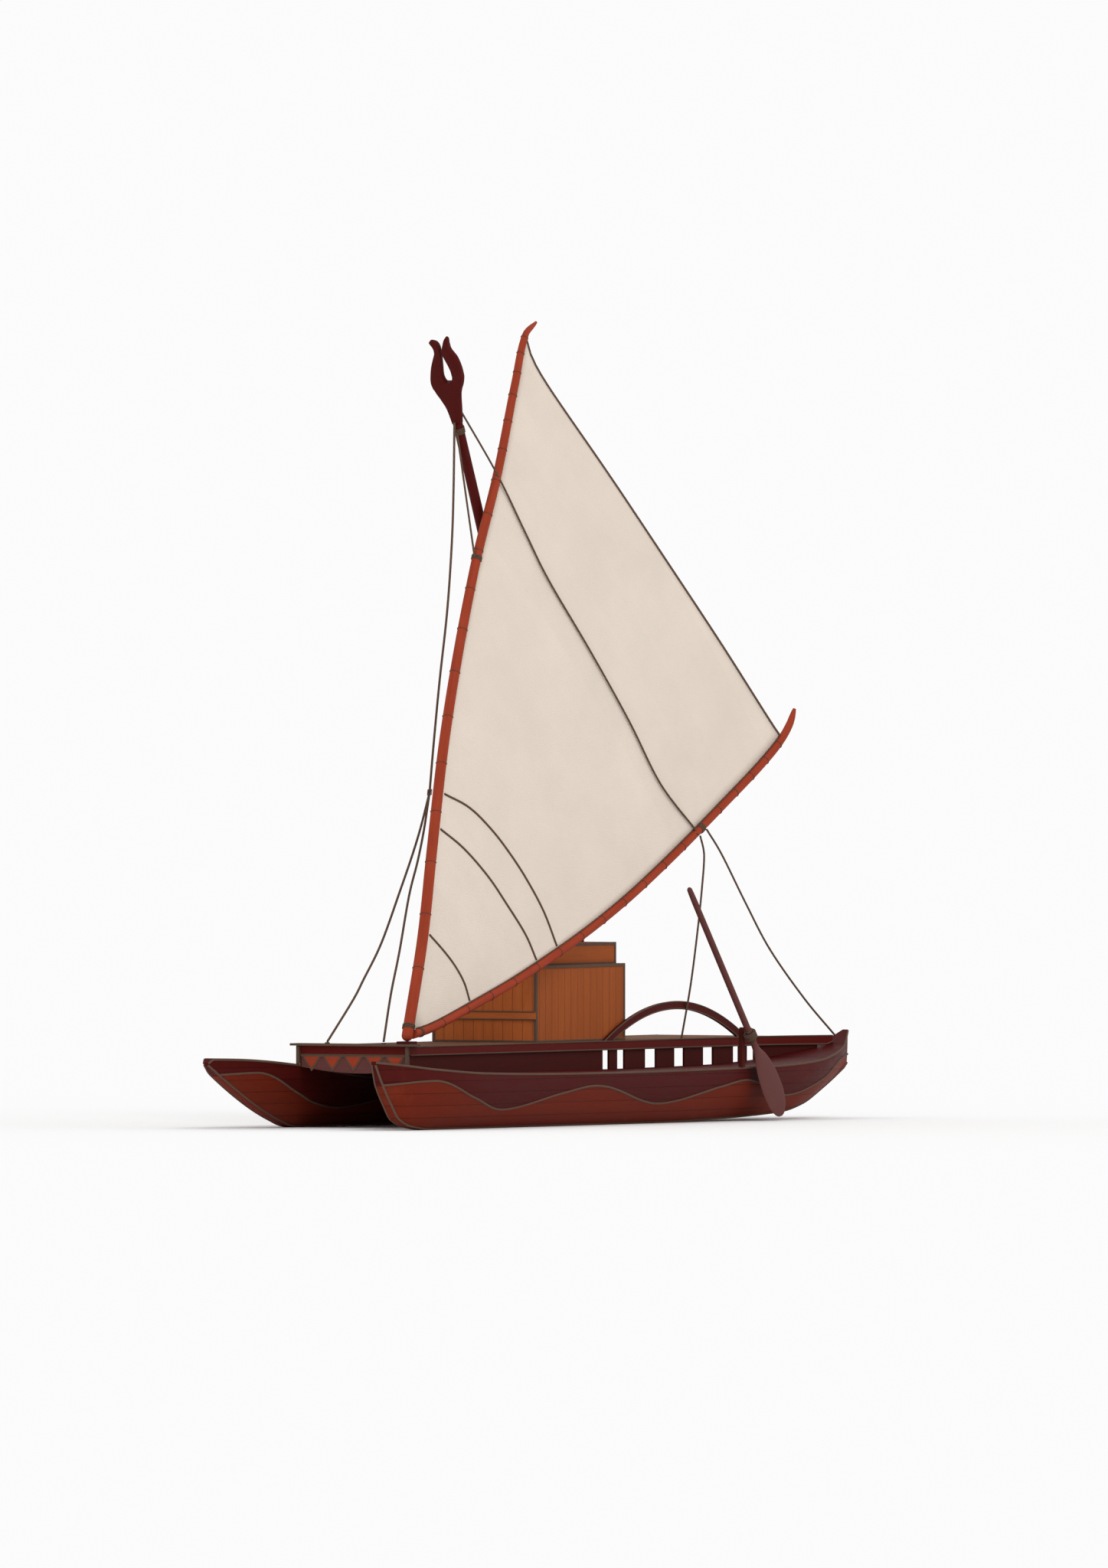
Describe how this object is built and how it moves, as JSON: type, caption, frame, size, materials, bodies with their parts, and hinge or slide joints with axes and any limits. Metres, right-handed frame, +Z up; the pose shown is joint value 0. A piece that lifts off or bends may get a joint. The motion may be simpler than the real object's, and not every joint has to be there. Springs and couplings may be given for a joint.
{
  "type": "double-hulled sailing canoe with an outrigger hull",
  "caption": "Double-hulled sailing canoe with a platform, deckhouse, forked raked mast, swinging crab-claw sail and a lifting, turning steering oar.",
  "frame": {"origin": "on the ground under the middle of the bounding box, with the canoe standing on its two keels", "axes": "-X towards the bow, -Y towards port (the main hull), +Z up"},
  "size_m": [20, 6.0196, 16.9979],
  "materials": {
    "maroon_paint": "satin",
    "red_brown_paint": "satin",
    "house_wood": "satin",
    "dark_wood": "satin",
    "spar_wood": "satin",
    "plum_wood": "satin",
    "taupe_trim": "satin",
    "sail_matting": "matte",
    "deck_wood": "satin",
    "rope": "matte"
  },
  "bodies": {
    "canoe": {"main_hull_bottom": "red_brown_paint", "outrigger_hull_bottom": "red_brown_paint", "main_hull_topside": "maroon_paint", "outrigger_hull_topside": "maroon_paint", "port_washboard": "dark_wood", "starboard_washboard": "dark_wood", "port_rail": "dark_wood", "deck_planking": "deck_wood", "port_fascia": "maroon_paint", "starboard_fascia": "maroon_paint", "front_fascia": "maroon_paint", "rear_fascia": "maroon_paint", "stern_wing": "maroon_paint", "stern_wing_board": "dark_wood", "front_frieze_panel": "plum_wood", "port_corner_post": "taupe_trim", "starboard_corner_post": "taupe_trim", "front_cap": "taupe_trim", "mast_step": "dark_wood", "mast": "maroon_paint", "masthead_fork": "maroon_paint", "house_front_wall": "house_wood", "house_rear_wall": "house_wood", "house_port_wall": "house_wood", "house_starboard_wall": "house_wood", "house_front_rail": "house_wood", "house_roof": "house_wood", "roof_block": "house_wood", "hoop_rail": "maroon_paint", "tack_block": "dark_wood", "forestay": "rope", "bridle": "rope", "oar_post": "dark_wood", "port_stanchion_1": "dark_wood", "port_stanchion_2": "dark_wood", "port_stanchion_3": "dark_wood", "port_stanchion_4": "dark_wood", "port_stanchion_5": "dark_wood", "port_stanchion_6": "dark_wood", "crossbeam_1": "dark_wood", "crossbeam_2": "dark_wood", "crossbeam_3": "dark_wood", "crossbeam_4": "dark_wood", "crossbeam_5": "dark_wood", "crossbeam_6": "dark_wood", "crossbeam_7": "dark_wood", "crossbeam_8": "dark_wood"},
    "rig": {"yard": "spar_wood", "boom": "spar_wood", "sail": "sail_matting"},
    "oar_cradle": {"oar_collar": "dark_wood"},
    "oar": {"steering_oar": "plum_wood"}
  },
  "joints": [
    {"name": "sail_swing", "type": "hinge", "parent": "canoe", "child": "rig", "pos_m": [-7.19, -1.04015, 1.9803], "axis": [-0.4005, -0.0752, -0.9132], "range_deg": [0, 45]},
    {"name": "oar_lift", "type": "hinge", "parent": "canoe", "child": "oar_cradle", "pos_m": [4.209, -2.86015, 1.83], "axis": [0, -1, 0], "range_deg": [0, 40]},
    {"name": "oar_twist", "type": "hinge", "parent": "oar_cradle", "child": "oar", "pos_m": [4.209, -2.86015, 1.83], "axis": [0.6361, 0, -0.7716], "range_deg": [-30, 30]}
  ]
}
